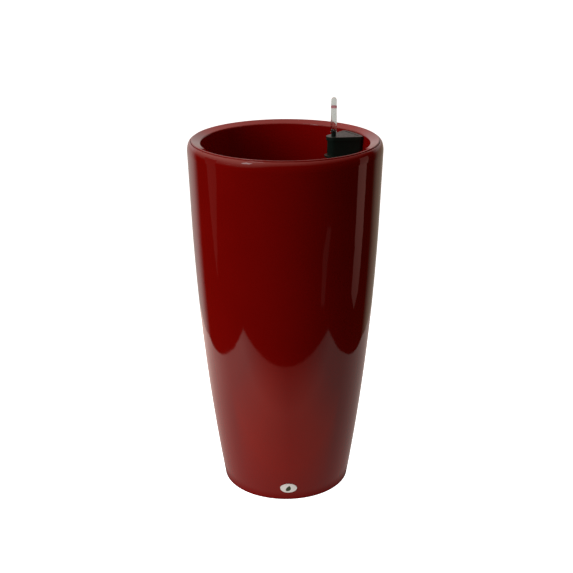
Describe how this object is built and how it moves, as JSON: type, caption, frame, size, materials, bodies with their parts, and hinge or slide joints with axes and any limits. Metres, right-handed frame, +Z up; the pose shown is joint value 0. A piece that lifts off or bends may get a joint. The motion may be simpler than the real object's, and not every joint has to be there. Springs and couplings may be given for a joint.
{
  "type": "self-watering planter",
  "caption": "Tall round tapered planter with a lift-out liner, a water reservoir, a filling shaft with a hinged lid and a float level gauge.",
  "frame": {"origin": "on the floor, under the middle of the base", "axes": "+Z up, -Y towards the front, where the badge is, +X to the right seen from the front; the filling shaft stands 29 degrees from +X towards +Y"},
  "size_m": [0.3937, 0.3936, 0.8215],
  "materials": {
    "red_gloss": "high gloss lacquer",
    "black_plastic": "fine moulded texture",
    "rubber": "matte",
    "clear_plastic": "clear moulded",
    "mark_red": "printed band",
    "badge_white": "satin",
    "float_foam": "foam",
    "white_plastic": "satin",
    "tip_red": "satin"
  },
  "bodies": {
    "shell": {"outer_shell": "red_gloss", "oval_badge": "badge_white"},
    "shell_bung": {"shell_bung": "rubber"},
    "liner": {"planting_liner": "red_gloss"},
    "reservoir_bung": {"reservoir_bung": "rubber"},
    "separator": {"separator_plate": "black_plastic", "wick_basket_1": "black_plastic", "wick_basket_2": "black_plastic", "wick_basket_3": "black_plastic"},
    "shaft": {"supply_shaft": "black_plastic", "shaft_strainer": "black_plastic", "inlet_head": "black_plastic", "gauge_stem": "black_plastic", "float_chamber": "black_plastic", "chamber_foot": "black_plastic", "gauge_cap": "clear_plastic", "max_level_ring": "mark_red"},
    "lid": {"inlet_lid": "black_plastic"},
    "float": {"float_body": "float_foam", "float_rod": "white_plastic", "float_tip": "tip_red"}
  },
  "joints": [
    {"name": "shell_bung_pull", "type": "slide", "parent": "shell", "child": "shell_bung", "axis": [0, 0, 1], "range_m": [0, 0.03]},
    {"name": "liner_lift", "type": "slide", "parent": "shell", "child": "liner", "axis": [0, 0, 1], "range_m": [0, 0.38]},
    {"name": "reservoir_bung_pull", "type": "slide", "parent": "liner", "child": "reservoir_bung", "axis": [0, 0, 1], "range_m": [0, 0.012]},
    {"name": "separator_lift", "type": "slide", "parent": "liner", "child": "separator", "axis": [0, 0, 1], "range_m": [0, 0.36]},
    {"name": "shaft_lift", "type": "slide", "parent": "separator", "child": "shaft", "axis": [0, 0, 1], "range_m": [0, 0.36]},
    {"name": "float_rise", "type": "slide", "parent": "shaft", "child": "float", "axis": [0, 0, 1], "range_m": [0, 0.045]},
    {"name": "lid_hinge", "type": "hinge", "parent": "shaft", "child": "lid", "pos_m": [0.13644, 0.07563, 0.739], "axis": [-0.4848, 0.8746, 0], "range_deg": [0, 90]}
  ]
}
